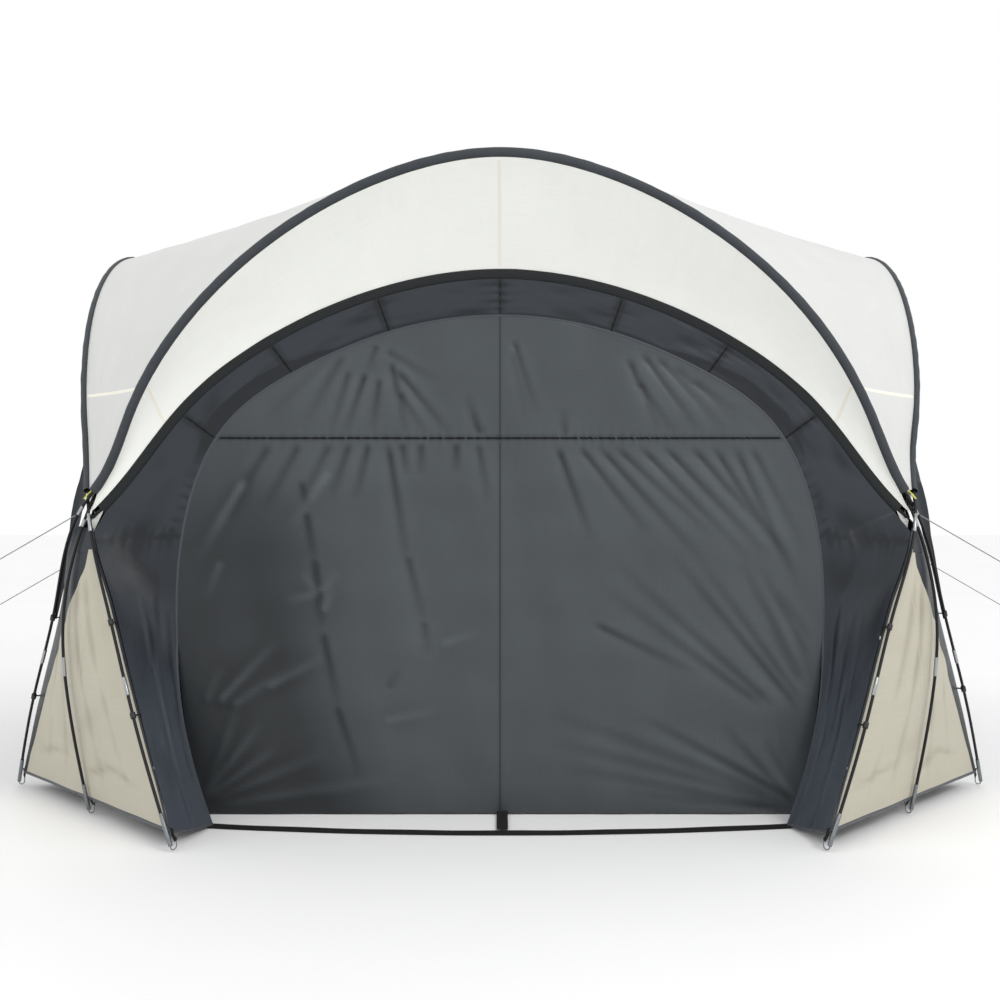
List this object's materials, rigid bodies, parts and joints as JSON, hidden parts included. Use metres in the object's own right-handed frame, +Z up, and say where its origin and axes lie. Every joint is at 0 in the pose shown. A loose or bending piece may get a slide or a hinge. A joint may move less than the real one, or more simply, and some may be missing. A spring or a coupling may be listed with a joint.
{
  "type": "hot tub dome tent",
  "caption": "Square dome tent for a hot tub: tilted fabric-sleeved arches over zipped walls, crossing diagonal poles, stretched roof, corner panels and guy ropes.",
  "frame": {"origin": "centre of the tent on the ground", "axes": "+X to the right of the front, along the guy ropes; +Y from the front to the back; +Z up"},
  "size_m": [7.156, 3.9158, 2.5506],
  "materials": {
    "pole": "black glass fibre rod",
    "sleeve": "charcoal woven polyester",
    "roof_cloth": "cream coated polyester",
    "panel_cloth": "beige coated polyester",
    "wall_cloth": "dark grey coated polyester",
    "door_cloth": "dark grey coated polyester",
    "webbing": "black woven webbing",
    "rope": "grey braided cord"
  },
  "bodies": {
    "root": {"back_arch_pole": "pole", "back_arch_sleeve": "sleeve", "back_door": "door_cloth", "back_ground_strap": "webbing", "back_inner_arch": "sleeve", "back_left_guy_rope": "rope", "back_left_panel": "panel_cloth", "back_left_roof": "roof_cloth", "back_right_guy_rope": "rope", "back_right_panel": "panel_cloth", "back_right_roof": "roof_cloth", "back_visor": "roof_cloth", "back_wall": "wall_cloth", "diagonal_pole_a": "pole", "diagonal_pole_b": "pole", "front_arch_pole": "pole", "front_arch_sleeve": "sleeve", "front_door": "door_cloth", "front_ground_strap": "webbing", "front_inner_arch": "sleeve", "front_left_guy_rope": "rope", "front_left_panel": "panel_cloth", "front_left_roof": "roof_cloth", "front_right_guy_rope": "rope", "front_right_panel": "panel_cloth", "front_right_roof": "roof_cloth", "front_visor": "roof_cloth", "front_wall": "wall_cloth", "left_arch_pole": "pole", "left_arch_sleeve": "sleeve", "left_door": "door_cloth", "left_ground_strap": "webbing", "left_guy_rope": "rope", "left_inner_arch": "sleeve", "left_visor": "roof_cloth", "left_wall": "wall_cloth", "right_arch_pole": "pole", "right_arch_sleeve": "sleeve", "right_door": "door_cloth", "right_ground_strap": "webbing", "right_guy_rope": "rope", "right_inner_arch": "sleeve", "right_visor": "roof_cloth", "right_wall": "wall_cloth"}
  },
  "joints": []
}
